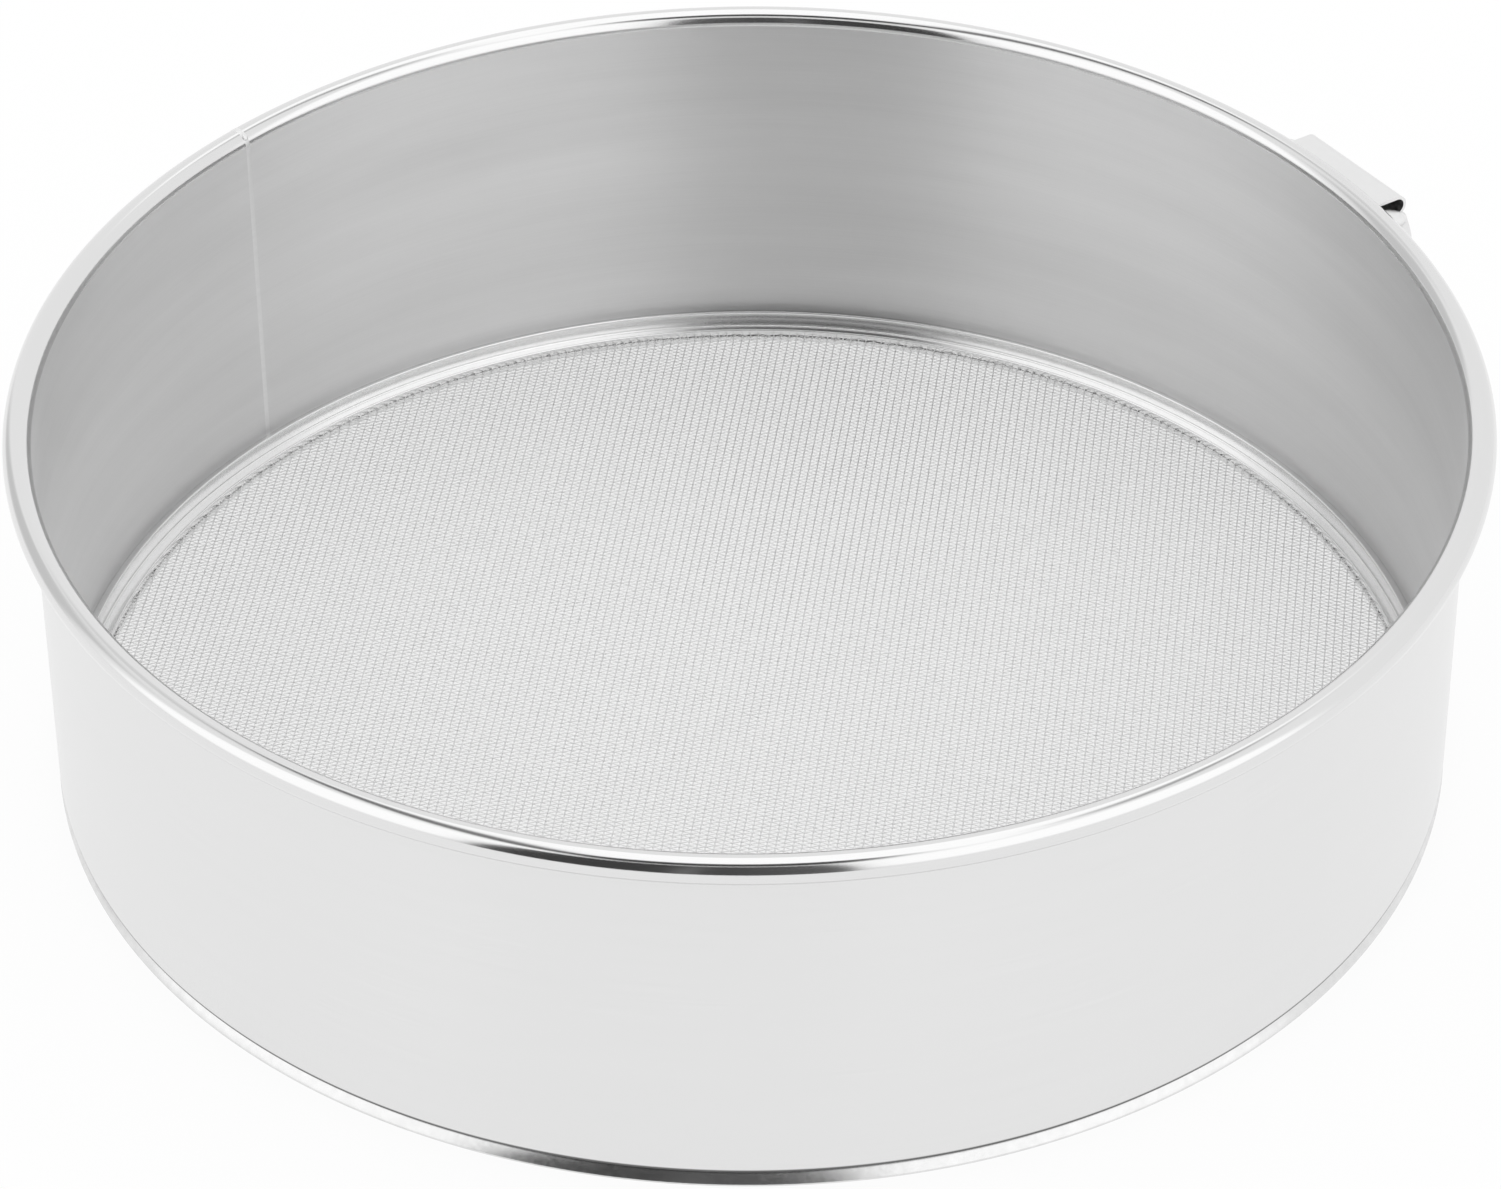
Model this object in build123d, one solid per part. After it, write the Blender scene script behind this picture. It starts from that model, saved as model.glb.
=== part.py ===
from build123d import *
import os
from math import cos, degrees, hypot, radians, sin

# A tamis, the flat drum sieve that bakers sift flour with, in stainless steel.
# Millimetres, +Z up. The origin is the middle of the foot, in the plane that the sieve stands on.
# The drum is a rolled strip with a curled rim. At its foot the strip is crimped over a hoop, and a
# channel-shaped clamp ring, pressed in from above, holds the wire cloth down on that hoop's flange.
# Radii are written r, heights z. In the lug's own frame u points away from the drum.

os.makedirs("parts", exist_ok=True)

# Whole sieve
rim_diameter = 200.0
drum_height = 55.7
fit_gap = 0.02

# Wall strip: sheet thickness, the curl that makes the rim, and the crimp at the foot
sheet = 0.4
bead_diameter = 3.9
curl_sweep = 315.0
curl_facets = 14
crimp_bend = 0.5
crimp_height = 2.94
crimp_sweep = 75.0
crimp_facets = 2

# Upright seam of the strip, seen at the back left
seam_azimuth = 138.2
seam_width = 0.8
seam_crown = 0.08

# Foot ring: hoop under the wall, with a flange for the cloth
foot_wall = 1.0
foot_neck = 0.4
foot_lap = 0.1
foot_toe_round = 0.3
toe_facets = 1
foot_face_crown = 0.06
foot_flange = 0.4
foot_flange_width = 2.9
waist_height_share = 0.55

# Wire cloth, as a disc with gaps: each bar stands for a band of eleven wires
cloth_thickness = 0.6
cloth_pitch = 12.98
cloth_bar = 1.0
cloth_selvedge = 0.5
cloth_turn = -7.5
smallest_gap_share = 0.1

# Clamp ring: a channel with a tall outer upright and a low inner lip
clamp_sheet = 0.4
clamp_width = 2.6
clamp_height = 2.6
clamp_lip = 0.8
upright_facets = 4
lip_facets = 2

# Lug: one piece of sheet, from a leg on the wall out under the rim and folded back over it
lug_azimuth = 33.2
lug_sheet = 0.6
lug_bend = 0.5
lug_facets = 4
lug_leg = 8.0
lug_leg_round = 2.5
lug_corner = 1.0
lug_plate_length = 38.0
lug_plate_straight = 4.1
lug_wing_shoulder = 1.7
lug_wing_setback = 0.6
lug_tab_length = 20.6
lug_tab_root_length = 22.0
lug_reach = 4.0
lug_drop = 1.13

# Spot welds that fix the lug's leg to the wall
spot_diameter = 3.0
spot_crown = 0.15
spot_spacing = 22.0

# Places that follow from the sizes above
bead_r = bead_diameter / 2
bead_centre_r = rim_diameter / 2 - bead_r
bead_centre_z = drum_height - bead_r
wall_inner_r = bead_centre_r - bead_r
wall_outer_r = wall_inner_r + sheet
crimp_centre_r = wall_inner_r - crimp_bend
foot_seat_r = wall_inner_r - foot_wall
foot_top_z = crimp_height + foot_lap
cloth_top_z = foot_flange + cloth_thickness
full_turn = 360.0


def on_circle(centre, radius, angle):
    """Point (r, z) on a circle in the section plane."""
    return (centre[0] + radius * cos(radians(angle)), centre[1] + radius * sin(radians(angle)))


def bend(centre, radius, start, sweep, facets):
    """Points along a round stretch of a hoop's section. Hoops of short cones keep the mesh light."""
    return [on_circle(centre, radius, start + sweep * k / facets) for k in range(facets + 1)]


def section(points):
    """Face bounded by straight edges through the points and back to the first."""
    return make_face(Polyline(*points, close=True))


def hoop(face, start=0.0, sweep=full_turn):
    """Solid made by turning a section in (r, z) about the Z axis, from one azimuth on."""
    return Rot(0, 0, start) * revolve(Plane.XZ * face, Axis.Z, sweep)


def strip_section():
    """Section of the wall strip: crimped foot, upright wall and the curl at the rim."""
    bead = (bead_centre_r, bead_centre_z)
    foot = (crimp_centre_r, crimp_height)
    curl_end = 180.0 - curl_sweep
    return section(
        bend(bead, bead_r, 180.0, -curl_sweep, curl_facets)
        + bend(bead, bead_r - sheet, curl_end, curl_sweep, curl_facets // 2)
        + bend(foot, crimp_bend + sheet, 0.0, -crimp_sweep, crimp_facets)
        + bend(foot, crimp_bend, -crimp_sweep, crimp_sweep, crimp_facets)
    )


def weld_section():
    """Crown of the weld, above the foot: proud of the strip's inner face and of the curl's outside."""
    bead = (bead_centre_r, bead_centre_z)
    foot_z = foot_top_z + fit_gap
    return section(
        bend(bead, bead_r + seam_crown, 180.0, -curl_sweep, curl_facets)
        + bend(bead, bead_r - sheet, 180.0 - curl_sweep, curl_sweep, curl_facets // 2)
        + [(wall_outer_r, foot_z), (wall_inner_r - seam_crown, foot_z)]
    )


def wall_band():
    """The rolled strip, open by the width of its seam."""
    gap = degrees(seam_width / wall_inner_r)
    return hoop(strip_section(), seam_azimuth + gap / 2, full_turn - gap)


def wall_seam_weld():
    """Weld metal that closes the strip, a little proud inside the drum and on the rim."""
    gap = degrees(seam_width / wall_inner_r)
    return hoop(strip_section() + weld_section(), seam_azimuth - gap / 2, gap)


def foot_ring():
    """Hoop that carries the drum. Its sloping face runs up to a neck, then out under the crimp."""
    crimp = (crimp_centre_r, crimp_height)
    toe = (wall_outer_r - foot_toe_round, foot_toe_round)
    waist = (foot_seat_r + foot_neck, waist_height_share * crimp_height)
    rise = waist[1] - toe[1]
    run = wall_outer_r - waist[0]
    slope = hypot(run, rise)
    face_mid = (
        (wall_outer_r + waist[0]) / 2 + foot_face_crown * rise / slope,
        (toe[1] + waist[1]) / 2 + foot_face_crown * run / slope,
    )
    flange_r = foot_seat_r - foot_flange_width
    return hoop(section(
        [(flange_r, 0.0)]
        + bend(toe, foot_toe_round, -90.0, 90.0, toe_facets)
        + [face_mid, waist]
        + bend(crimp, crimp_bend - fit_gap, -90.0, 90.0, crimp_facets)
        + [(wall_inner_r - fit_gap, foot_top_z), (foot_seat_r, foot_top_z)]
        + [(foot_seat_r, foot_flange), (flange_r, foot_flange)]
    ))


def wire_cloth():
    """Disc of cloth between the flange and the clamp ring: bars both ways across a round opening."""
    open_r = foot_seat_r - foot_flange_width - cloth_selvedge
    steps = int(open_r // cloth_pitch)
    bars = []
    for i in range(-steps, steps + 1):
        bars.append(Pos(i * cloth_pitch, 0) * Rectangle(cloth_bar, 2 * open_r))
        bars.append(Pos(0, i * cloth_pitch) * Rectangle(2 * open_r, cloth_bar))
    smallest = smallest_gap_share * (cloth_pitch - cloth_bar) ** 2
    gaps = [face for face in (Circle(open_r) - bars).faces() if face.area > smallest]
    print("wire_cloth gaps:", len(gaps))
    disc = Circle(foot_seat_r - fit_gap) - gaps
    return Pos(0, 0, foot_flange) * Rot(0, 0, cloth_turn) * extrude(disc, cloth_thickness)


def clamp_ring():
    """Channel hoop: floor on the cloth, tall upright against the foot ring, low lip inside."""
    round_r = clamp_sheet / 2
    outer_r = foot_seat_r - fit_gap
    lip_r = outer_r - clamp_width
    tall = (outer_r - round_r, cloth_top_z + clamp_height - round_r)
    low = (lip_r + round_r, cloth_top_z + clamp_lip - round_r)
    floor_z = cloth_top_z + clamp_sheet
    return hoop(section(
        [(lip_r, cloth_top_z), (outer_r, cloth_top_z)]
        + bend(tall, round_r, 0.0, 180.0, upright_facets)
        + [(outer_r - clamp_sheet, floor_z), (lip_r + clamp_sheet, floor_z)]
        + bend(low, round_r, 0.0, 180.0, lip_facets)
    ))


# Places of the lug, in its own frame: u away from the drum, z up
leg_inner_r = wall_outer_r + fit_gap
leg_outer_r = leg_inner_r + lug_sheet
plate_top_z = drum_height - bead_diameter - fit_gap
plate_bottom_z = plate_top_z - lug_sheet
leg_bottom_z = plate_top_z - lug_leg
tab_top_z = drum_height - lug_drop
fold_r = (tab_top_z - plate_bottom_z) / 2
fold_centre = (rim_diameter / 2 + lug_reach - fold_r, tab_top_z - fold_r)


def mirrored(half):
    """Closed plan outline from the points (u, t) of its left half, mirrored across the lug's middle."""
    return section(half + [(u, -t) for u, t in reversed(half)])


def lug_base():
    """Leg on the wall and the plate under the rim, whose wings flare from the fold to the wall."""
    bend_centre = (leg_outer_r + lug_bend, plate_bottom_z - lug_bend)
    outer = lug_bend + lug_sheet
    wing_u = rim_diameter / 2 + lug_reach - lug_wing_setback
    profile = section(
        [(leg_inner_r, leg_bottom_z)]
        + bend(bend_centre, outer, 180.0, -90.0, lug_facets)
        + [(rim_diameter, plate_top_z), (rim_diameter, plate_bottom_z)]
        + bend(bend_centre, lug_bend, 90.0, 90.0, lug_facets)
        + [(leg_outer_r, leg_bottom_z)]
    )
    shoulder_u = wall_inner_r + lug_plate_straight
    outline = mirrored([
        (0.0, lug_plate_length / 2),
        (shoulder_u, lug_plate_length / 2),
        (wing_u, lug_tab_length / 2 + lug_wing_shoulder),
        (wing_u, lug_tab_length / 2),
        (fold_centre[0], lug_tab_length / 2),
    ])
    flare = outline.vertices().filter_by(lambda v: v.X > 0.0 and abs(v.Y) > lug_tab_length / 2 + fit_gap)
    plan = Pos(0, 0, leg_bottom_z) * extrude(fillet(flare, lug_corner), lug_leg)
    base = hoop(profile) & plan
    feet = base.edges().filter_by(lambda e: e.center().Z < leg_bottom_z + fit_gap and e.length < 2 * lug_sheet)
    return fillet(feet, lug_leg_round)


def lug_tab():
    """The fold and the sheet that comes back over the plate as far as the rim's curl."""
    inner = fold_r - lug_sheet
    edges = [
        CenterArc(fold_centre, fold_r, -90.0, 180.0),
        CenterArc(fold_centre, inner, -90.0, 180.0),
        Line(on_circle(fold_centre, fold_r, -90.0), on_circle(fold_centre, inner, -90.0)),
        Polyline(
            on_circle(fold_centre, inner, 90.0),
            (bead_centre_r, tab_top_z - lug_sheet),
            (bead_centre_r, tab_top_z),
            on_circle(fold_centre, fold_r, 90.0),
        ),
    ]
    strap = extrude(Plane.XZ * make_face(edges), lug_plate_length, both=True)
    tip_u = rim_diameter / 2 + lug_reach
    plan = extrude(mirrored([(bead_centre_r, lug_tab_root_length / 2), (tip_u, lug_tab_length / 2)]), drum_height)
    bead = hoop(Pos(bead_centre_r, bead_centre_z) * Circle(bead_r + fit_gap))
    return (strap & plan) - bead


def hanging_lug():
    return Rot(0, 0, lug_azimuth) * (lug_base() + lug_tab())


def lug_spot_welds():
    """Flat buttons on the outside of the leg."""
    mid_z = (leg_bottom_z + plate_bottom_z - lug_bend) / 2
    skin = Pos(0, 0, mid_z) * (
        Cylinder(leg_outer_r + spot_crown, 2 * spot_diameter) - Cylinder(leg_outer_r, 2 * spot_diameter)
    )
    turn = degrees(spot_spacing / leg_outer_r) / 2
    spots = []
    for side in (-1, 1):
        azimuth = lug_azimuth + side * turn
        pin = Rot(0, 0, azimuth) * Pos(leg_outer_r, 0, mid_z) * Rot(0, 90, 0) * Cylinder(spot_diameter / 2, lug_leg)
        spots += (skin & pin).solids()
    return Compound(children=spots)


for name, shape in (
    ("wall_band", wall_band()),
    ("wall_seam_weld", wall_seam_weld()),
    ("foot_ring", foot_ring()),
    ("wire_cloth", wire_cloth()),
    ("clamp_ring", clamp_ring()),
    ("hanging_lug", hanging_lug()),
    ("lug_spot_welds", lug_spot_welds()),
):
    export_step(shape, f"parts/{name}.step")
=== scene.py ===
# %% [markdown]
# # A tamis, the baker's drum sieve, in polished and satin steel
#
# The real sieve is a strip of thin stainless sheet rolled into a drum. Its top edge is curled
# outward into a hollow bead, its foot is crimped over a hoop, and a woven wire cloth is clamped
# across the bottom. This lesson dresses the measured CAD model for a studio picture: the hoops are
# turned again with finer curves, the cloth is woven wire by wire, and every piece gets a finish.
#
# The CAD model comes in first and stays fixed. It says where each piece is and how big it is.

# %% Load the measured model
import math
from math import cos, pi, radians, sin

import bmesh
import bpy
from mathutils import Matrix, Quaternion, Vector


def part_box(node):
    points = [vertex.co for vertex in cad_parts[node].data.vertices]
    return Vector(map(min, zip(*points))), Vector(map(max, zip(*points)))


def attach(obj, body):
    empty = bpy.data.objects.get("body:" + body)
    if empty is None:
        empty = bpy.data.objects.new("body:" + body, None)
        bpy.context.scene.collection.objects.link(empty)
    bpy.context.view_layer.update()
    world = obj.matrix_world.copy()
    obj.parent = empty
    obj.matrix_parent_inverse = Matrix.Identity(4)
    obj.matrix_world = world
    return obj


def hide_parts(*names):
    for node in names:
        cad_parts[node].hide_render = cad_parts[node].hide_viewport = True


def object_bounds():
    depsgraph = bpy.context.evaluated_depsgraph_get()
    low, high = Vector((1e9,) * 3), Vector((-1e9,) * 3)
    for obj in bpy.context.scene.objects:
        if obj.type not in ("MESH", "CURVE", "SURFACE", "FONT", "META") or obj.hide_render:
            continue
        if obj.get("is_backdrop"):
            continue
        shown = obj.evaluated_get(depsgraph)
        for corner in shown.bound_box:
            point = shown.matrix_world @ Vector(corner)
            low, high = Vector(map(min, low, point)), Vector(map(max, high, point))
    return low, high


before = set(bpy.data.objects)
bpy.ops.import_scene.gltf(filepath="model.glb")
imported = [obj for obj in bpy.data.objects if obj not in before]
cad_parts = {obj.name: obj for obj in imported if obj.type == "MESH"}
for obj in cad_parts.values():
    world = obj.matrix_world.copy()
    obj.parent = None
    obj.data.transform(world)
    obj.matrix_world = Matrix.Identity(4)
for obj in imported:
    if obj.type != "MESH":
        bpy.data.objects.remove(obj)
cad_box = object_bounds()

MM = 0.001
for node in sorted(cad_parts):
    low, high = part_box(node)
    print(node, "z", round(low.z / MM, 2), "to", round(high.z / MM, 2), "mm")

# %% [markdown]
# ## Camera
#
# The picture was taken with a long lens from in front and above, which keeps the rim almost a true
# ellipse. The camera's distance, height and focal length were found from the rim, the foot and the
# inner edge of the bead, whose sizes against each other depend on them. The picture leans by a
# third of a degree, so the camera is rolled by as much about its own line of sight.

# %% Place the camera
aim = Vector((0, 0, 21.09 * MM))
camera_place = Vector((0, -624.99 * MM, 494.66 * MM))
camera_roll = -0.0063


def placed(name, data):
    """An object with the given data, in the scene and at its origin."""
    thing = bpy.data.objects.new(name, data)
    bpy.context.scene.collection.objects.link(thing)
    return thing


lens = bpy.data.cameras.new("studio_camera")
lens.lens = 136.35
lens.sensor_width = 36
camera = placed("studio_camera", lens)
camera.location = camera_place
camera.rotation_mode = "QUATERNION"
straight_look = (aim - camera_place).to_track_quat("-Z", "Y")
camera.rotation_quaternion = straight_look @ Quaternion((0, 0, 1), camera_roll)
bpy.context.scene.camera = camera
bpy.context.scene.view_settings.view_transform = "Standard"
print("camera stands", round((camera_place - aim).length / MM), "mm from its aim")

# %% [markdown]
# ## Shader maths in Python
#
# Blender's materials are graphs of small nodes. A formula such as `0.3 + 0.1 * streaks` would take
# three nodes by hand. The two classes below write them from the formula: `Value` wraps one socket
# and turns `+`, `-`, `*`, `/` into Math nodes, and `Bench` holds one node tree and adds any other
# node in a single call. Two kinds of node are needed again and again, to take a vector apart and
# to make a grey, so they have a method each.

# %% Shader maths
class Value:
    """One output socket of a node tree. Python's operators on it add Math nodes."""

    def __init__(self, bench, socket):
        self.bench = bench
        self.socket = socket

    def math(self, operation, *others):
        settings = {"operation": operation}
        return self.bench.node("ShaderNodeMath", settings, dict(enumerate((self,) + others)))

    def __add__(self, other):
        return self.math("ADD", other)

    def __sub__(self, other):
        return self.math("SUBTRACT", other)

    def __rsub__(self, other):
        return self.bench.node("ShaderNodeMath", {"operation": "SUBTRACT"}, {0: other, 1: self})

    def __mul__(self, other):
        return self.math("MULTIPLY", other)

    def __truediv__(self, other):
        return self.math("DIVIDE", other)

    __radd__ = __add__
    __rmul__ = __mul__

    def step(self, low, high):
        """Rises smoothly from 0 to 1 while the value goes from low to high."""
        settings = {"interpolation_type": "SMOOTHSTEP"}
        inputs = {"Value": self, "From Min": low, "From Max": high}
        return self.bench.node("ShaderNodeMapRange", settings, inputs)

    def between(self, low, high, blur):
        """1 between low and high, 0 outside, with edges of the given blur."""
        return self.step(low - blur, low + blur) * (1 - self.step(high - blur, high + blur))


class Bench:
    """A node tree. Its method `node` adds any node, the others add common ones with it."""

    def __init__(self, tree):
        self.tree = tree
        tree.nodes.clear()

    def node(self, kind, settings=None, inputs=None, output=0):
        """Adds a node, first its settings and then its inputs, and returns one of its outputs."""
        made = self.tree.nodes.new(kind)
        made.location = (170 * (len(self.tree.nodes) // 6), -190 * (len(self.tree.nodes) % 6))
        for key, value in (settings or {}).items():
            setattr(made, key, value)
        for key, value in (inputs or {}).items():
            if isinstance(value, Value):
                self.tree.links.new(value.socket, made.inputs[key])
            else:
                made.inputs[key].default_value = value
        return Value(self, made.outputs[output]) if made.outputs else made

    def split(self, vector):
        """The x, y and z of a vector."""
        outputs = self.node("ShaderNodeSeparateXYZ", inputs={0: vector}).socket.node.outputs
        return [Value(self, outputs[name]) for name in "XYZ"]

    def tone(self, level):
        """A grey whose brightness is a value that varies."""
        return self.node("ShaderNodeCombineColor", inputs={0: level, 1: level, 2: level})


def grey(level):
    """A grey that is the same everywhere."""
    return (level, level, level, 1)


print("shader maths ready")

# %% [markdown]
# ## The table
#
# The sieve stands on white paper that fills the picture. The paper's shader knows what kind of ray
# has met it. To the camera, and to a reflection in the steel, it is mostly a plain white, so the
# background is clean and the metal mirrors that same white. The rest of it is an ordinary pale
# paper lit by the room, which keeps the soft shadow round the foot. Inside the foot ring that
# white is turned down as painted shade, because the real paper there gets only the light that
# comes down through the cloth. A camera that looks up from below the table sees through it, so
# that the sieve's underside can be checked.
# The paper lies a hundredth of a millimetre under the foot, because two faces in one plane
# flicker.

# %% The white table
table_half, table_drop = 0.75, 0.01 * MM
paper_white = 0.95
# The lower glow inside the foot ring is painted shade, for the light that the cloth keeps off the
# paper.
open_glow, painted_shade_glow = 0.92, 0.68
covered_r, covered_blur = 94 * MM, 2 * MM

bm = bmesh.new()
bmesh.ops.create_grid(bm, x_segments=1, y_segments=1, size=table_half)
bmesh.ops.translate(bm, vec=(0, 0, -table_drop), verts=bm.verts)
paper_mesh = bpy.data.meshes.new("white_table")
bm.to_mesh(paper_mesh)
bm.free()
white_table = placed("white_table", paper_mesh)

paper = bpy.data.materials.new("white_paper")
paper.use_nodes = True
bench = Bench(paper.node_tree)
rays = [bench.node("ShaderNodeLightPath", output=name) for name in
        ("Is Camera Ray", "Is Glossy Ray", "Is Transmission Ray")]
seen = (rays[0] + rays[1] + rays[2]).math("MINIMUM", 1.0)
on_paper = bench.node("ShaderNodeTexCoord", output="Object")
from_axis = bench.node("ShaderNodeVectorMath", {"operation": "LENGTH"}, {0: on_paper}, "Value")
# Painted shade: the paper's glow is turned down inside the foot ring.
painted_shade_mask = 1 - from_axis.step(covered_r - covered_blur, covered_r)
paper_glow = open_glow - (open_glow - painted_shade_glow) * painted_shade_mask
matt = bench.node("ShaderNodeBsdfDiffuse", inputs={"Color": grey(paper_white)})
glow = bench.node("ShaderNodeEmission", inputs={"Color": grey(1), "Strength": 1.0})
both = bench.node("ShaderNodeMixShader", inputs={0: seen * paper_glow, 1: matt, 2: glow})
from_below = bench.node("ShaderNodeNewGeometry", output="Backfacing")
clear = bench.node("ShaderNodeBsdfTransparent")
one_sided = bench.node("ShaderNodeMixShader", inputs={0: from_below * rays[0], 1: both, 2: clear})
bench.node("ShaderNodeOutputMaterial", inputs={"Surface": one_sided})
paper_mesh.materials.append(paper)
white_table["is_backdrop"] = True
print("table", [round(x, 1) for x in white_table.dimensions], "m")

# %% [markdown]
# ## The room
#
# Polished steel has hardly a look of its own: it shows the room. The rim of the real sieve mirrors
# a white room with a bright soft box on each side of the camera and a third one overhead, in a
# dark frame. The world below paints that room by direction, for reflections only. The camera sees
# plain white, and everything else is lit by an even soft light.
#
# `sideways` is the angle from the camera's side of the room, to the right, and `height` the angle
# above the horizon, both in degrees. The box overhead is easier to place on a flat ceiling, by the
# distances `over_x` and `over_y` from a point straight above the sieve, for a ceiling a metre up.
# Each patch has soft edges. The light ones are added to the plain wall and the dark ones take away
# their share of it. All were placed by what the bead shows at each point of its round.

# %% The room around the table
plain_wall, box_gain, far_loss = 0.96, 0.3, 0.28
even_light = 1.05

world = bpy.data.worlds.new("studio_room")
bpy.context.scene.world = world
world.use_nodes = True
bench = Bench(world.node_tree)

x, y, z = bench.split(bench.node("ShaderNodeTexCoord", output="Generated"))
sideways = x.math("ARCTAN2", y * -1.0) * (180 / pi)
height = z.math("ARCSINE") * (180 / pi)
boxes = sideways.between(15, 84, 5) + sideways.between(-99, -38, 5)
boxes = boxes * height.between(6, 62, 8)
far_wall = sideways.between(-144, -110, 5) * height.between(0, 40, 8)

up = z.math("MAXIMUM", 0.02)
over_x, over_y = x / up, y / up
overhead = over_x.between(-0.3, 0.4, 0.05) * over_y.between(-0.3, 0.9, 0.05)
front_frame = over_x.between(-0.33, 0.23, 0.07) * over_y.between(-0.6, -0.23, 0.04)
left_frame = over_x.between(-0.42, -0.25, 0.04) * over_y.between(-0.4, 0.66, 0.14)
right_frame = over_x.between(0.33, 0.5, 0.05) * over_y.between(0.1, 0.58, 0.12)
far_left = over_x.between(-0.6, -0.22, 0.06) * over_y.between(0.6, 1.1, 0.15)

room = plain_wall + box_gain * boxes + box_gain * overhead - far_loss * far_wall
dark_patches = [(front_frame, 0.95), (left_frame, 0.84), (right_frame, 0.58), (far_left, 0.18)]
for patch, loss in dark_patches:
    room = room * (1 - loss * patch)

soft_light = bench.node("ShaderNodeBackground", inputs={"Color": grey(1), "Strength": even_light})
white_wall = bench.node("ShaderNodeBackground", inputs={"Color": grey(1), "Strength": 1.0})
mirrored_room = bench.node("ShaderNodeBackground", inputs={"Color": grey(1), "Strength": room})
is_camera = bench.node("ShaderNodeLightPath", output="Is Camera Ray")
is_glossy = bench.node("ShaderNodeLightPath", output="Is Glossy Ray")
lit = bench.node("ShaderNodeMixShader", inputs={0: is_glossy, 1: soft_light, 2: mirrored_room})
whole = bench.node("ShaderNodeMixShader", inputs={0: is_camera, 1: lit, 2: white_wall})
bench.node("ShaderNodeOutputWorld", inputs={"Surface": whole})
print("the room has", len(world.node_tree.nodes), "nodes")

# %% [markdown]
# The dark patch on the front of the rim is the camera's own side of the room. It is a real board
# here and no part of the painted room, because it stands near: from the back of the drum it looks
# smaller than from the front of the rim, and only a thing with a place does that. The board is
# hidden from the camera and casts no shadow, so it only shows in reflections. A paler strip runs
# down it and its right side is a little paler too, as the rim shows.

# %% The dark board by the camera
board_left, board_right, board_top, board_y = -0.445, 0.142, 0.83, -0.62
board_grey, strip_gain, right_gain = 0.05, 0.14, 0.05

board_corners = [(board_left, board_y, 0), (board_right, board_y, 0),
                 (board_right, board_y, board_top), (board_left, board_y, board_top)]
board_mesh = bpy.data.meshes.new("dark_board")
board_mesh.from_pydata(board_corners, [], [(0, 1, 2, 3)])
dark_board = placed("dark_board", board_mesh)
dark_board.visible_camera = dark_board.visible_diffuse = dark_board.visible_shadow = False

cloth_black = bpy.data.materials.new("board_black")
cloth_black.use_nodes = True
bench = Bench(cloth_black.node_tree)
board_x = bench.split(bench.node("ShaderNodeTexCoord", output="Object"))[0]
strip = board_x.between(-0.107, -0.075, 0.008)
board_level = board_grey + strip_gain * strip + right_gain * board_x.step(-0.12, 0.1)
dim_inputs = {"Color": bench.tone(board_level), "Strength": 1.0}
dim = bench.node("ShaderNodeEmission", inputs=dim_inputs)
bench.node("ShaderNodeOutputMaterial", inputs={"Surface": dim})
board_mesh.materials.append(cloth_black)
dark_board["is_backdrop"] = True
print("board", round(board_right - board_left, 2), "m wide and", board_top, "m high")

# %% [markdown]
# ## Turning a hoop
#
# Wall, foot ring and clamp ring are hoops: one closed section, turned about the drum's axis. A
# Screw modifier could do it, but a short function gives full control of where the points lie.
# `arc` makes the round stretches of a section and `rounded` eases its corners, because no sheet
# edge is perfectly sharp and the small radius is what catches the light. `guarded` adds points
# close to the ends of the long flat stretches, so that the smooth shading of a bend doesn't creep
# across the flat face beside it.

# %% Sections of sheet
def arc(centre, radius, start, sweep, step=7.5):
    """Points (r, z) along a round stretch, a few degrees apart."""
    count = max(2, math.ceil(abs(sweep) / step))
    angles = [radians(start + sweep * k / count) for k in range(count + 1)]
    return [(centre[0] + radius * cos(a), centre[1] + radius * sin(a)) for a in angles]


def rounded(corners, steps=3):
    """Closed section through (r, z, radius) corners, each eased by its radius."""
    points = []
    for k, (r, z, radius) in enumerate(corners):
        here = Vector((r, z))
        if radius == 0:
            points.append((r, z))
            continue
        before = Vector(corners[k - 1][:2]) - here
        after = Vector(corners[(k + 1) % len(corners)][:2]) - here
        half = before.angle(after) / 2
        reach = radius / math.tan(half)
        a, b = here + before.normalized() * reach, here + after.normalized() * reach
        for i in range(steps + 1):
            t = i / steps
            points.append(tuple(a * (1 - t) ** 2 + here * (2 * t * (1 - t)) + b * t ** 2))
    return points


def guarded(points, reach=0.2):
    """The section with two more points near the ends of each stretch of over five reaches."""
    result = []
    for k, p in enumerate(points):
        here, there = Vector(p), Vector(points[(k + 1) % len(points)])
        result.append(tuple(here))
        if (there - here).length > 5 * reach:
            way = (there - here).normalized() * reach
            result += [tuple(here + way), tuple(there - way)]
    return result


print("an arc of 90 degrees has", len(arc((0, 0), 1, 0, 90)), "points")

# %% [markdown]
# `turned` joins the same section at many angles. A full hoop closes on itself, and an open one,
# such as the wall with its seam, gets a flat end on each side. The normals are worked out again at
# the end, so that all faces point outwards whichever way the section was drawn. `joined` does the
# work and knows nothing of hoops, so the seam and the lug use it too.

# %% Turn a section into a mesh
hoop_steps = 540


def finished_mesh(name, verts, faces, sharp=35):
    """Mesh object with outward faces, smooth except along edges sharper than the angle."""
    mesh = bpy.data.meshes.new(name)
    mesh.from_pydata(verts, [], faces)
    bm = bmesh.new()
    bm.from_mesh(mesh)
    bmesh.ops.recalc_face_normals(bm, faces=bm.faces)
    bm.to_mesh(mesh)
    bm.free()
    mesh.shade_smooth()
    mesh.set_sharp_from_angle(angle=radians(sharp))
    return placed(name, mesh)


def joined(name, rings, closed):
    """Joins closed rings of points in millimetres, each to the next. An open row gets end caps."""
    size, count = len(rings[0]), len(rings)
    verts = [(x * MM, y * MM, z * MM) for ring in rings for x, y, z in ring]
    faces = []
    for i in range(count if closed else count - 1):
        a, b = i * size, (i + 1) % count * size
        faces += [(a + j, a + (j + 1) % size, b + (j + 1) % size, b + j) for j in range(size)]
    if not closed:
        faces += [tuple(range(size)), tuple(range((count - 1) * size, count * size))]
    return finished_mesh(name, verts, faces)


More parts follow.
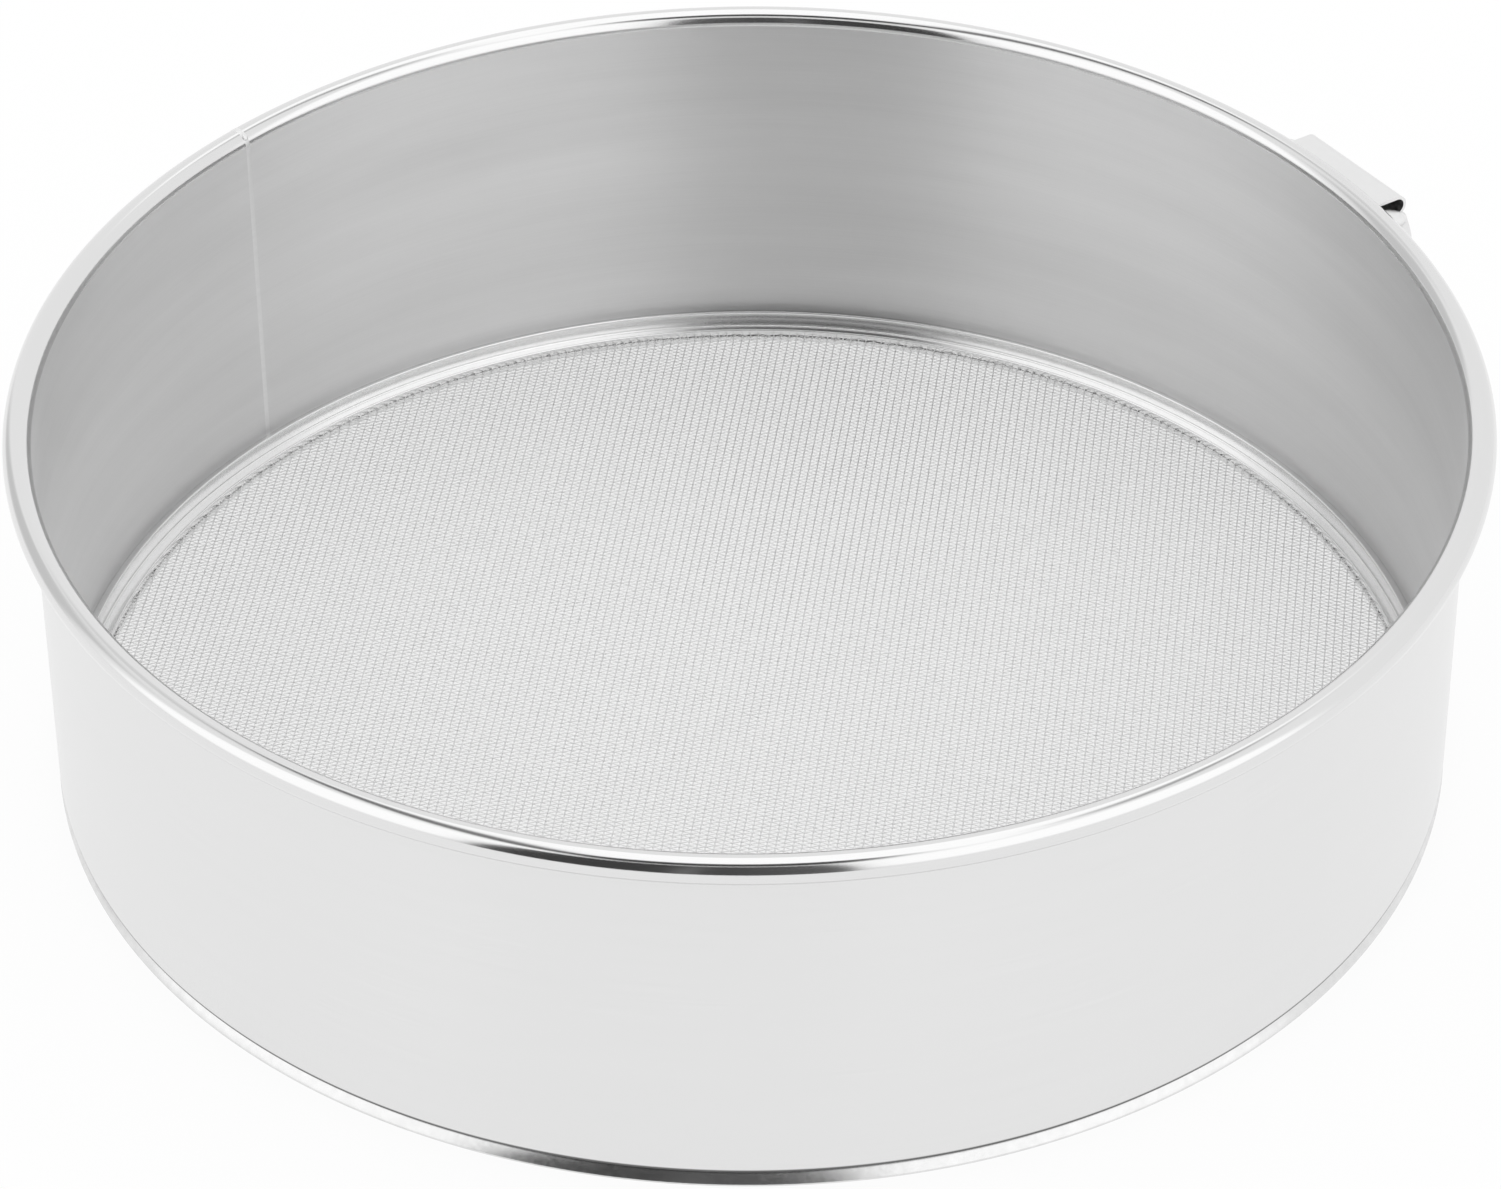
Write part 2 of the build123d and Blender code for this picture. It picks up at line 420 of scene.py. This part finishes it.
def upright_ring(points, angle):
    """A section (r, z) stood up at an angle round the drum, in degrees."""
    c, s = cos(radians(angle)), sin(radians(angle))
    return [(r * c, r * s, z) for r, z in points]


def turned(name, section, start=0.0, sweep=360.0):
    """Turns a section about the drum's axis."""
    closed = sweep == 360.0
    steps = max(2, round(hoop_steps * sweep / 360))
    angles = [start + sweep * k / steps for k in range(steps if closed else steps + 1)]
    points = guarded(section)
    piece = joined(name, [upright_ring(points, angle) for angle in angles], closed)
    print(name, len(piece.data.polygons), "faces")
    return piece


# %% [markdown]
# ## The wall strip
#
# One strip of 0.4 mm sheet. Going up, it leaves the crimp at the foot, runs straight, and rolls
# outward through seven eighths of a turn into the hollow bead. The section is drawn along one face
# of the sheet and back along the other, so the curl's open end stays visible under the rim. The
# bead is taken 0.03 mm smaller than nominal, because the CAD's flat facets lie that much inside
# the true circle, and so the dressed piece stays inside the CAD's box.

# %% Roll the wall
rim_r, rim_z = 100.0, 55.7
bead_r, facet_sag = 1.95, 0.03
sheet = 0.4
curl = 315
bead_skin = bead_r - facet_sag
bead_centre = (rim_r - bead_r, rim_z - bead_r)
wall_inner_r = bead_centre[0] - bead_r
wall_outer_r = wall_inner_r + sheet
lead_in_drop = 1.2
crimp_centre = (95.6, 2.94)
crimp_bend, crimp_sweep = 0.5, 75
seam_angle, seam_width = 138.2, 0.8


def strip_section(crown=0.0):
    """Section of the strip. A crown lifts the surface, as weld metal does."""
    lead_in = [(wall_inner_r - crown, bead_centre[1] - lead_in_drop)]
    outer = arc(bead_centre, bead_skin + crown, 180, -curl, 5)
    inner = arc(bead_centre, bead_r - sheet, 180 - curl, curl, 9)
    under = arc(crimp_centre, crimp_bend + sheet, 0, -crimp_sweep)
    over = arc(crimp_centre, crimp_bend, -crimp_sweep, crimp_sweep)
    return lead_in + outer + inner + under + over[:-1] + [(over[-1][0] - crown, over[-1][1])]


seam_gap = math.degrees(seam_width / wall_inner_r)
wall = turned("drum_wall", strip_section(), seam_angle + seam_gap / 2, 360 - seam_gap)

# %% [markdown]
# ## The seam
#
# The strip's ends are butt welded and dressed nearly flush. What is left is a fine pale line up
# the inside of the drum, and a dot of weld metal on the rim. The weld fills the gap between the
# two ends. Its section is the strip's own, lifted by a crown that is highest in the middle of the
# weld and nothing at its edges. The dot is a flattened ball, half sunk in the bead.

# %% Weld the seam
weld_crown, weld_steps = 0.025, 8
dot_lean, dot_size = radians(135), (0.55, 0.45, 0.2)


def lump(name, centre, out, along, size):
    """A flattened ball of weld metal in millimetres: its short axis points along `out`."""
    out = Vector(out).normalized()
    side = (Vector(along) - out * out.dot(Vector(along))).normalized()
    turned_by = Matrix((side, out.cross(side), out)).transposed().to_4x4()
    scaled_by = Matrix.Diagonal((*[k * MM for k in size], 1))
    moved_by = Matrix.Translation(Vector(centre) * MM)
    bm = bmesh.new()
    bmesh.ops.create_uvsphere(bm, u_segments=32, v_segments=18, radius=1)
    bmesh.ops.transform(bm, matrix=moved_by @ turned_by @ scaled_by, verts=bm.verts)
    mesh = bpy.data.meshes.new(name)
    bm.to_mesh(mesh)
    bm.free()
    mesh.shade_smooth()
    return placed(name, mesh)


weld_rings = []
for k in range(weld_steps + 1):
    t = k / weld_steps
    points = guarded(strip_section(weld_crown * sin(pi * t)))
    weld_rings.append(upright_ring(points, seam_angle + seam_gap * (t - 0.5)))
seam = joined("seam_weld", weld_rings, closed=False)

seam_way = Vector((cos(radians(seam_angle)), sin(radians(seam_angle)), 0))
dot_out = seam_way * cos(dot_lean) + Vector((0, 0, sin(dot_lean)))
dot_centre = seam_way * bead_centre[0] + Vector((0, 0, bead_centre[1])) + dot_out * bead_skin
dot = lump("seam_dot", dot_centre, dot_out, (0, 0, 1), dot_size)
print(seam.name, seam_width, "mm wide, faces", len(seam.data.polygons))
print(dot.name, "faces", len(dot.data.polygons))

# %% [markdown]
# ## The foot ring
#
# The drum stands on a rolled hoop. From its round toe the face slopes inward to a narrow waist,
# and above the waist a lip runs out under the crimped wall. The slope turns the hoop's mirror
# upwards, which is why it shows the dark side of the room while the wall above it shows the white
# table. A flange reaches inwards and touches the wires from below, so that no bright slot is left
# under the edge of the cloth.

# %% Turn the foot ring
flange_r, flange_z, flange_ease = 92.2, 0.74, 0.1
seat_r, seat_ease = 95.1, 0.05
toe_r = 0.3
toe = (wall_outer_r - toe_r, toe_r)
waist = (95.5, 1.617)
face_crown = 0.06
lip_r = 0.48
lip_end, lip_top = 96.08, 3.04


def foot_face(steps=8):
    """Slightly crowned slope from the toe to the waist."""
    start, end = Vector((wall_outer_r, toe[1])), Vector(waist)
    out = Vector((end.y - start.y, start.x - end.x)).normalized() * face_crown
    shares = [k / steps for k in range(1, steps + 1)]
    return [tuple(start.lerp(end, t) + out * (4 * t * (1 - t))) for t in shares]


toe_to_lip = arc(toe, toe_r, -90, 90) + foot_face() + arc(crimp_centre, lip_r, -90, 90)
foot_section = rounded(
    [(flange_r, flange_z, flange_ease), (flange_r, 0.0, flange_ease)]
    + [(*p, 0) for p in toe_to_lip]
    + [(lip_end, lip_top, 0.03), (seat_r, lip_top, 0.12), (seat_r, flange_z, seat_ease)]
)
foot = turned("foot_hoop", foot_section)

# %% [markdown]
# ## The clamp ring
#
# A channel pressed in from above holds the cloth down: its floor sits among the wires that it
# squeezes, a tall side stands against the foot ring, and a low lip faces the middle. Seen from
# above it gives a bright ridge, a dark groove and a bright lip. Both upright edges are fully
# rounded.

# %% Turn the clamp ring
clamp_out, clamp_in = 95.08, 92.48
clamp_sheet = 0.4
clamp_floor = 0.78
tall_z, low_z = 3.6, 1.8
corner_ease, outer_bend, inner_bend = 0.06, 0.3, 0.15

half = clamp_sheet / 2
floor_top = clamp_floor + clamp_sheet
tall_edge = arc((clamp_out - half, tall_z - half), half, 0, 180, 15)
low_edge = arc((clamp_in + half, low_z - half), half, 0, 180, 15)
clamp_section = rounded(
    [(clamp_in, clamp_floor, corner_ease), (clamp_out, clamp_floor, outer_bend)]
    + [(*p, 0) for p in tall_edge]
    + [(clamp_out - clamp_sheet, floor_top, outer_bend)]
    + [(clamp_in + clamp_sheet, floor_top, inner_bend)]
    + [(*p, 0) for p in low_edge]
)
clamp = turned("clamp_channel", clamp_section)

# %% [markdown]
# ## The wire cloth
#
# The cloth is a plain weave: stout wires 1.18 mm apart run away from the viewer, and thinner wires
# cross them nearly three times as closely. Each wire dips under one neighbour and rises over the
# next. A flat disc with a pattern painted on it would be lighter, but it would have no glints, no
# shadow under the crossings and no clear view through the gaps, so the wires are made one by one.
#
# That is a job for Geometry Nodes, because one rule makes them all. The tree lays one straight run
# of points at each wire's place, numbers the runs, bends each up and down by a cosine whose sign
# follows the number, cuts away what lies outside the clamp, and sweeps a small polygon along what
# is left. The same tree makes both sets: the cross wires swap the two distances and start their
# cosine half a wave later, so they pass over where the others pass under.

# %% A tree that weaves one set of wires
class Loom(Bench):
    """Geometry Nodes tree with named inputs, built with the same node() call as the shaders."""

    def __init__(self, name):
        super().__init__(bpy.data.node_groups.new(name, "GeometryNodeTree"))
        self.tree.interface.new_socket(
            "Geometry", in_out="OUTPUT", socket_type="NodeSocketGeometry")
        self.inlet = self.tree.nodes.new("NodeGroupInput")
        self.keys = {}

    def size(self, name, kind):
        """Adds a named input and returns its value inside the tree."""
        made = self.tree.interface.new_socket(
            name, in_out="INPUT", socket_type="NodeSocket" + kind)
        self.keys[name] = made.identifier
        return Value(self, self.inlet.outputs[name])

    def vector(self, **parts):
        """A vector from the parts x, y and z that are given."""
        inputs = {"xyz".index(name): value for name, value in parts.items()}
        return self.node("ShaderNodeCombineXYZ", inputs=inputs)


loom = Loom("wire_loom")
first = loom.size("First Wire", "Int")
wires = loom.size("Wires", "Int")
pitch = loom.size("Pitch", "Float")
cross_pitch = loom.size("Cross Pitch", "Float")
thickness = loom.size("Wire Diameter", "Float")
crimp = loom.size("Crimp", "Float")
wave_start = loom.size("Wave Start", "Float")
unevenness = loom.size("Unevenness", "Float")
cloth_reach = loom.size("Cloth Radius", "Float")
sides = loom.size("Sides", "Int")
turn = loom.size("Turn", "Float")
level = loom.size("Level", "Float")
steel = loom.size("Wire Steel", "Material")
per_crossing = loom.size("Points per Crossing", "Int")

spacing = cross_pitch / per_crossing
half_run = (cloth_reach / spacing).math("CEIL")
run = loom.node("GeometryNodeMeshLine", inputs={
    "Count": half_run * 2 + 1,
    "Start Location": loom.vector(y=half_run * spacing * -1.0),
    "Offset": loom.vector(y=spacing),
})
places = loom.node("GeometryNodeMeshLine", inputs={
    "Count": wires,
    "Start Location": loom.vector(x=first * pitch),
    "Offset": loom.vector(x=pitch),
})
runs = loom.node("GeometryNodeInstanceOnPoints", inputs={"Points": places, "Instance": run})
runs = loom.node("GeometryNodeRealizeInstances", inputs={0: runs})

across, along, _ = loom.split(loom.node("GeometryNodeInputPosition"))
number = (across / pitch).math("ROUND")
wave = ((along / cross_pitch + number) * pi + wave_start).math("COSINE") * crimp
draw = {2: -1.0, 3: 1.0, "ID": number + 500, "Seed": 7}
stray = loom.node("FunctionNodeRandomValue", {"data_type": "FLOAT"}, draw, output=1)
bent = loom.vector(x=stray * unevenness, z=wave)
runs = loom.node("GeometryNodeSetPosition", inputs={"Geometry": runs, "Offset": bent})
outside = (across * across + along * along).math("GREATER_THAN", cloth_reach * cloth_reach)
cut = {"Geometry": runs, "Selection": outside}
runs = loom.node("GeometryNodeDeleteGeometry", {"domain": "POINT"}, cut)

line = loom.node("GeometryNodeMeshToCurve", inputs={"Mesh": runs})
shape = loom.node("GeometryNodeCurvePrimitiveCircle", inputs={
    "Resolution": sides, "Radius": thickness * 0.5})
drawn = loom.node("GeometryNodeCurveToMesh", inputs={
    "Curve": line, "Profile Curve": shape, "Fill Caps": True})
drawn = loom.node("GeometryNodeTransform", inputs={
    "Geometry": drawn, "Translation": loom.vector(z=level), "Rotation": loom.vector(z=turn)})
drawn = loom.node("GeometryNodeRealizeInstances", inputs={0: drawn})
drawn = loom.node("GeometryNodeSetMaterial", inputs={"Geometry": drawn, "Material": steel})
loom.node("NodeGroupOutput", inputs={"Geometry": drawn})
print("the loom has", len(loom.tree.nodes), "nodes and", len(loom.keys), "inputs")

# %% [markdown]
# ## Weaving in bands
#
# A million and a half small faces in one mesh are slow to handle, so each set of wires is woven in
# a few bands side by side, with about the same length of wire in each. A modifier's inputs are set
# by the identifiers that the tree gave its sockets. The evaluated result is then copied into a
# plain mesh and the modifier is gone with its carrier. The wires' steel gets its name here and its
# nodes later, with the other finishes.

# %% Weave the cloth
cloth_level = 0.74
cloth_r = 94.6
cloth_turn = radians(-7.5)
wire_stray = 0.02
drawn_wire = bpy.data.materials.new("drawn_wire")


def bands(pitch, count):
    """Ranges of wire numbers that hold about the same length of wire each."""
    last = int(cloth_r // pitch)
    lengths = [2 * math.sqrt(cloth_r ** 2 - (k * pitch) ** 2) for k in range(-last, last + 1)]
    share, total, ranges, begin = sum(lengths) / count, 0.0, [], -last
    for k, length in zip(range(-last, last + 1), lengths):
        total += length
        if total >= share * (len(ranges) + 1) or k == last:
            ranges.append((begin, k - begin + 1))
            begin = k + 1
    return ranges


def weave(name, begin, count, sizes):
    """One band of wires as a plain mesh."""
    carrier = placed(name + "_carrier", bpy.data.meshes.new(name + "_carrier"))
    modifier = carrier.modifiers.new("loom", "NODES")
    modifier.node_group = loom.tree
    settings = {"First Wire": begin, "Wires": count, "Cloth Radius": cloth_r * MM,
                "Level": cloth_level * MM, "Unevenness": wire_stray * MM,
                "Wire Steel": drawn_wire, **sizes}
    for key, value in settings.items():
        modifier[loom.keys[key]] = value
    ready = carrier.evaluated_get(bpy.context.evaluated_depsgraph_get())
    mesh = bpy.data.meshes.new_from_object(ready)
    bpy.data.objects.remove(carrier)
    mesh.name = name
    mesh.shade_smooth()
    print(name, "wires", begin, "to", begin + count - 1, "faces", len(mesh.polygons))
    return placed(name, mesh)


stout_pitch, thin_pitch = 1.18, 0.42
stout = {"Pitch": stout_pitch * MM, "Cross Pitch": thin_pitch * MM, "Wire Diameter": 0.24 * MM,
         "Crimp": 0.05 * MM, "Wave Start": 0.0, "Points per Crossing": 1, "Sides": 5,
         "Turn": cloth_turn}
thin = {"Pitch": thin_pitch * MM, "Cross Pitch": stout_pitch * MM, "Wire Diameter": 0.16 * MM,
        "Crimp": 0.17 * MM, "Wave Start": pi, "Points per Crossing": 2, "Sides": 4,
        "Turn": cloth_turn + pi / 2}
wire_sets = [("cloth_wires", stout_pitch, stout, 4), ("cloth_cross_wires", thin_pitch, thin, 5)]
cloth = []
for name, set_pitch, sizes, count in wire_sets:
    for k, (begin, amount) in enumerate(bands(set_pitch, count)):
        cloth.append(weave(f"{name}_{k + 1}", begin, amount, sizes))
print("the cloth has", sum(len(p.data.polygons) for p in cloth), "faces")

# %% [markdown]
# ## The lug
#
# The lug is one more piece of sheet. A leg lies on the wall, where the camera can't see it. It
# bends out under the bead into a plate with a wing on each side, and a fold brings the sheet back
# over the plate as a tab that ends on the bead. The open end of the fold is the small dark hole in
# the picture, and the pale slope beside it is a tack of weld metal, with one more at the far end.
#
# It is drawn in a frame of its own: `u` points away from the drum, `t` runs along the rim, and
# each place along `t` gets a section of `u` and height. Where the sheet follows the round drum,
# `bowed` turns a radius into the `u` at that `t`. Drawing it again, instead of using the CAD's few
# facets, gives a truly round fold, and the fold's soft highlight makes it read as sheet.

# %% Fold the lug
lug_angle = radians(33.2)
lug_thick, lap = 0.45, 0.01
leg_r, leg_low, leg_bend = 97.12, 43.78, 0.5
leg_straight, leg_round = 16.5, 2.5
plate_z, plate_edge, plate_ease = 51.78, 102.5, 0.1
tab_z, tab_lead = 54.57, 0.3
lug_tip, tip_skew, wrap_r = 104.2, 0.02, 102.2
near_end, far_end, wing_end = -10.3, 9.6, 19
wing_outline = [(10.9, 104.0), (12.3, 103.2), (13.4, 102.6), (14.6, 101.9), (15.7, 101.2),
                (16.8, 100.4), (wing_end, 99.2)]
aside = 0.01


def bowed(r, t):
    """The u at t of a point that lies at radius r from the drum's axis."""
    return math.sqrt(r * r - t * t)


def looked_up(x, table):
    """Straight-line reading between the pairs of a table."""
    for (x0, y0), (x1, y1) in zip(table, table[1:]):
        if x <= x1:
            return y0 + (y1 - y0) * max(0.0, (x - x0) / (x1 - x0))
    return table[-1][1]


def base_section(t):
    """Leg, bend and plate, up to the plate's outer edge."""
    low = plate_z - lug_thick
    bend = (leg_r + leg_bend, low - leg_bend)
    past = max(0.0, abs(t) - leg_straight)
    foot_z = leg_low + leg_round - math.sqrt(max(0.0, leg_round ** 2 - past ** 2))
    edge = plate_edge if near_end < t < far_end else looked_up(abs(t), wing_outline)
    side = [(leg_r - lug_thick, foot_z)] + arc(bend, leg_bend + lug_thick, 180, -90)
    lip = [(edge - plate_ease, plate_z), (edge, plate_z - plate_ease),
           (edge, low + plate_ease), (edge - plate_ease, low)]
    back = arc(bend, leg_bend, 90, 90) + [(leg_r, foot_z)]
    return [(bowed(r, t), z) for r, z in side] + lip + [(bowed(r, t), z) for r, z in back]


def strap_section(t):
    """Fold and tab, cut where the tab meets the bead. The lower end wraps the plate's edge."""
    fold_r = (tab_z - plate_z + lug_thick) / 2
    fold = (lug_tip - tip_skew * t - fold_r, tab_z - fold_r)
    tab_low = tab_z - lug_thick
    ends = []
    for z in (tab_z, tab_low):
        bead_face = bead_centre[0] + math.sqrt(bead_r ** 2 - (z - bead_centre[1]) ** 2)
        ends.append((bowed(bead_face, t), z))
    upper = [ends[0], (fold[0] - tab_lead, tab_z)] + arc(fold, fold_r, 90, -180)
    wrap = [(wrap_r, plate_z - lug_thick - lap), (wrap_r, plate_z + lap)]
    lower = arc(fold, fold_r - lug_thick, -90, 180) + [(fold[0] - tab_lead, tab_low), ends[1]]
    return upper + wrap + lower


def lug_rings(section, places):
    """The section at each place along t, in the drum's own frame."""
    c, s = cos(lug_angle), sin(lug_angle)
    return [[(u * c - t * s, u * s + t * c, z) for u, z in section(t)] for t in places]


def stations(start, end, count):
    """Evenly spaced places from start to end."""
    return [start + (end - start) * k / count for k in range(count + 1)]


base_stations = (stations(-wing_end, near_end - aside, 20)
                 + stations(near_end + aside, far_end - aside, 24)
                 + stations(far_end + aside, wing_end, 20))
base = joined("lug_base", lug_rings(base_section, base_stations), closed=False)
strap_stations = stations(near_end, far_end, 24)
strap = joined("lug_strap", lug_rings(strap_section, strap_stations), closed=False)
print("lug: base", len(base.data.polygons), "faces, strap", len(strap.data.polygons), "faces")

# %% [markdown]
# The welds on the lug are lumps like the dot on the rim. A tack at each end of the fold is given
# by its `u`, `t` and height and its three half widths, and leans outwards a little. The two spots
# lie flat on the leg, one on each side of its middle.

# %% Weld the lug
tack_lean = 0.25
tack_places = [(99.8, near_end - 1.1, 52.1, (3.9, 1.9, 1.65)),
               (100.9, far_end - 0.7, 52.95, (3.3, 1.1, 1.3))]
spot_aside, spot_z, spot_size = 11.0, 47.23, (1.5, 1.5, 0.15)
lug_out = Vector((cos(lug_angle), sin(lug_angle), 0))
lug_along = Vector((-sin(lug_angle), cos(lug_angle), 0))
upward = Vector((0, 0, 1))

tacks = []
for k, (u, t, z, size) in enumerate(tack_places):
    middle = lug_out * u + lug_along * t + Vector((0, 0, z))
    lean = upward + tack_lean * lug_out
    tacks.append(lump(f"lug_tack_{k + 1}", middle, lean, lug_out, size))
spots = []
for k, side in enumerate((-1, 1)):
    spot_angle = lug_angle + side * spot_aside / leg_r
    way = Vector((cos(spot_angle), sin(spot_angle), 0))
    middle = way * leg_r + Vector((0, 0, spot_z))
    spots.append(lump(f"lug_spot_{k + 1}", middle, way, upward, spot_size))
print("welds on the lug:", [p.name for p in tacks + spots])

# %% [markdown]
# ## Steel finishes
#
# All the pieces are stainless steel. What differs is how the surface was left. A satin sheet has
# fine scratches that run round the drum, because it was brushed while it turned. They blur a
# reflection up and down and leave it fairly sharp sideways. The shader's Anisotropic value does
# that, and noise stretched along the scratches adds the streaks that the eye can see.
#
# `streaks` is that noise: its coordinates are squeezed sideways and stretched in height, so each
# speck becomes a line round the drum. Fine lines make the brushed grain. Broad ones, no more than
# ninety to the metre, make the soft clouds that a hand leaves inside the drum.

# %% Streaks and specks
def streaks(bench, fine, long=40.0):
    """Noise of lines round the drum, 0 to 1, with so many lines per metre of height."""
    x, y, z = bench.split(bench.node("ShaderNodeTexCoord", output="Object"))
    reach = (x * x + y * y).math("SQRT")
    squeezed = {0: x * long, 1: y * long, 2: (z + reach) * fine}
    squeezed = bench.node("ShaderNodeCombineXYZ", inputs=squeezed)
    inputs = {"Vector": squeezed, "Scale": 1.0, "Detail": 3.0, "Roughness": 0.6}
    return bench.node("ShaderNodeTexNoise", inputs=inputs)


def specks(bench, scale):
    """Even cloudy noise, 0 to 1."""
    place = bench.node("ShaderNodeTexCoord", output="Object")
    inputs = {"Vector": place, "Scale": scale, "Detail": 2.0}
    return bench.node("ShaderNodeTexNoise", inputs=inputs)


bump_depth = 0.1 * MM


def steel_finish(name, colour, roughness, bump, fixed=None):
    """Metal whose colour, roughness and relief are formulas. A bump is (strength, formula)."""
    material = bpy.data.materials.get(name) or bpy.data.materials.new(name)
    material.use_nodes = True
    bench = Bench(material.node_tree)
    strength, height = bump
    inputs = {"Height": height(bench), "Strength": strength, "Distance": bump_depth}
    relief = bench.node("ShaderNodeBump", inputs=inputs)
    inputs = {"Base Color": bench.tone(colour(bench)), "Roughness": roughness(bench),
              "Normal": relief, "Metallic": 1.0, **(fixed or {})}
    surface = bench.node("ShaderNodeBsdfPrincipled", inputs=inputs)
    bench.node("ShaderNodeOutputMaterial", inputs={"Surface": surface})
    return material


print("grain and finish helpers ready")

# %% [markdown]
# Each finish below is a few formulas. The bead was polished, the hoops are bright with faint
# clouds, the wires are dull from drawing and the welds are pale and a little rough. The crease
# between wall and foot ring lies in shade, and each finish that crosses it has that shade painted
# into its colour there.

# %% Make the finishes
# Painted shade: each finish that crosses the crease above the foot ring is darkened there.
crease_low, crease_high, crease_blur, painted_crease_depth = 1.6 * MM, 2.9 * MM, 0.15 * MM, 0.85


def painted_crease_shade(bench):
    """1 everywhere but in the crease above the foot ring, where it darkens the colour as painted
    shade.
    """
    z = bench.split(bench.node("ShaderNodeTexCoord", output="Object"))[2]
    return 1 - painted_crease_depth * z.between(crease_low, crease_high, crease_blur)


satin = steel_finish(
    "satin_sheet",
    colour=lambda b: 0.68 + 0.05 * streaks(b, 5000) + 0.18 * streaks(b, 90, long=9.0),
    roughness=lambda b: 0.38 + 0.1 * streaks(b, 9000),
    bump=(0.06, lambda b: streaks(b, 14000)),
    fixed={"Anisotropic": 0.9, "Anisotropic Rotation": 0.25},
)
# The outer sheet's colour carries the painted crease shade.
outer = steel_finish(
    "fine_grained_sheet",
    colour=lambda b: (0.78 + 0.03 * streaks(b, 3000)) * painted_crease_shade(b),
    roughness=lambda b: 0.2 + 0.08 * streaks(b, 7000),
    bump=(0.02, lambda b: streaks(b, 9000)),
    fixed={"Anisotropic": 0.8, "Anisotropic Rotation": 0.25},
)
polished = steel_finish(
    "polished_bead",
    colour=lambda b: 0.765 + 0.02 * streaks(b, 3000),
    roughness=lambda b: 0.1 + 0.06 * streaks(b, 7000),
    bump=(0.02, lambda b: streaks(b, 9000)),
)
# The foot ring's colour carries the painted crease shade.
bright = steel_finish(
    "bright_hoop",
    colour=lambda b: (0.7 + 0.13 * specks(b, 700)) * painted_crease_shade(b),
    roughness=lambda b: 0.14 + 0.14 * specks(b, 1600),
    bump=(0.03, lambda b: streaks(b, 7000)),
)
pressed_ring = steel_finish(
    "pressed_ring",
    colour=lambda b: 0.86 + 0.04 * specks(b, 900),
    roughness=lambda b: 0.16 + 0.08 * streaks(b, 6000),
    bump=(0.03, lambda b: streaks(b, 7000)),
)
steel_finish(
    "drawn_wire",
    colour=lambda b: 0.88 + 0.08 * specks(b, 700),
    roughness=lambda b: 0.48 + 0.1 * specks(b, 2500),
    bump=(0.05, lambda b: specks(b, 9000)),
)
# The welds' colour carries the painted crease shade.
weld = steel_finish(
    "dressed_weld",
    colour=lambda b: (0.82 + 0.08 * specks(b, 1500)) * painted_crease_shade(b),
    roughness=lambda b: 0.4 + 0.15 * specks(b, 3000),
    bump=(0.1, lambda b: specks(b, 2500)),
)
pressed = steel_finish(
    "pressed_lug",
    colour=lambda b: 0.8 + 0.03 * specks(b, 600),
    roughness=lambda b: 0.3 + 0.1 * specks(b, 1200),
    bump=(0.05, lambda b: specks(b, 3000)),
)
print("finishes:", [m.name for m in bpy.data.materials])

# %% [markdown]
# ## Dressing the pieces
#
# The wall carries three finishes. Inside the drum, below the bead, it is satin. Outside it has a
# finer grain, and the bead was polished on the lathe. A face's material index picks one of them.

# %% Put the finishes on
wall_slack = 0.05
for finish in (polished, satin, outer):
    wall.data.materials.append(finish)
for face in wall.data.polygons:
    face_r = Vector((face.center.x, face.center.y)).length / MM
    facing_in = face.normal.x * face.center.x + face.normal.y * face.center.y < 0
    below_bead = face.center.z < bead_centre[1] * MM
    if below_bead and face_r < wall_outer_r + wall_slack:
        face.material_index = 1 if facing_in else 2
counts = [sum(f.material_index == k for f in wall.data.polygons) for k in range(3)]
print("wall faces: polished, satin inside, fine grained outside:", counts)

finish_of = [(seam, weld), (dot, weld), (foot, bright), (clamp, pressed_ring), (base, pressed),
             (strap, pressed)]
for piece, material in finish_of + [(blob, weld) for blob in tacks + spots]:
    piece.data.materials.append(material)

# %% [markdown]
# ## Fixing the pieces to the model
#
# Nothing on this sieve moves, so all pieces ride on its one body. Each dressed piece is listed
# with the CAD node that it stands for, which is then hidden, and with the name of a material slot
# in the record.

# %% Tie the pieces to the frame
stands_for = [(wall, "wall_band", "sheet_steel"), (seam, "wall_seam_weld", "weld_steel"),
              (foot, "foot_ring", "ring_steel"), (clamp, "clamp_ring", "ring_steel"),
              (base, "hanging_lug", "sheet_steel"), (strap, "hanging_lug", "sheet_steel"),
              (dot, "wall_seam_weld", "weld_steel")]
stands_for += [(band, "wire_cloth", "wire_steel") for band in cloth]
stands_for += [(blob, "lug_spot_welds", "weld_steel") for blob in tacks + spots]
for piece, node, slot_name in stands_for:
    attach(piece, "root")
    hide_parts(node)
print(len(stands_for), "pieces ride on the root body")

# %% [markdown]
# ## The two boxes
#
# The CAD model's box and the dressed model's box are printed side by side, axis by axis.

# %% Print the boxes and finish
dressed_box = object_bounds()
for axis, *ends in zip("xyz", *cad_box, *dressed_box):
    a, b, c, d = (round(end / MM, 3) for end in ends)
    print(axis, "CAD", a, "to", b, "dressed", c, "to", d, "mm")
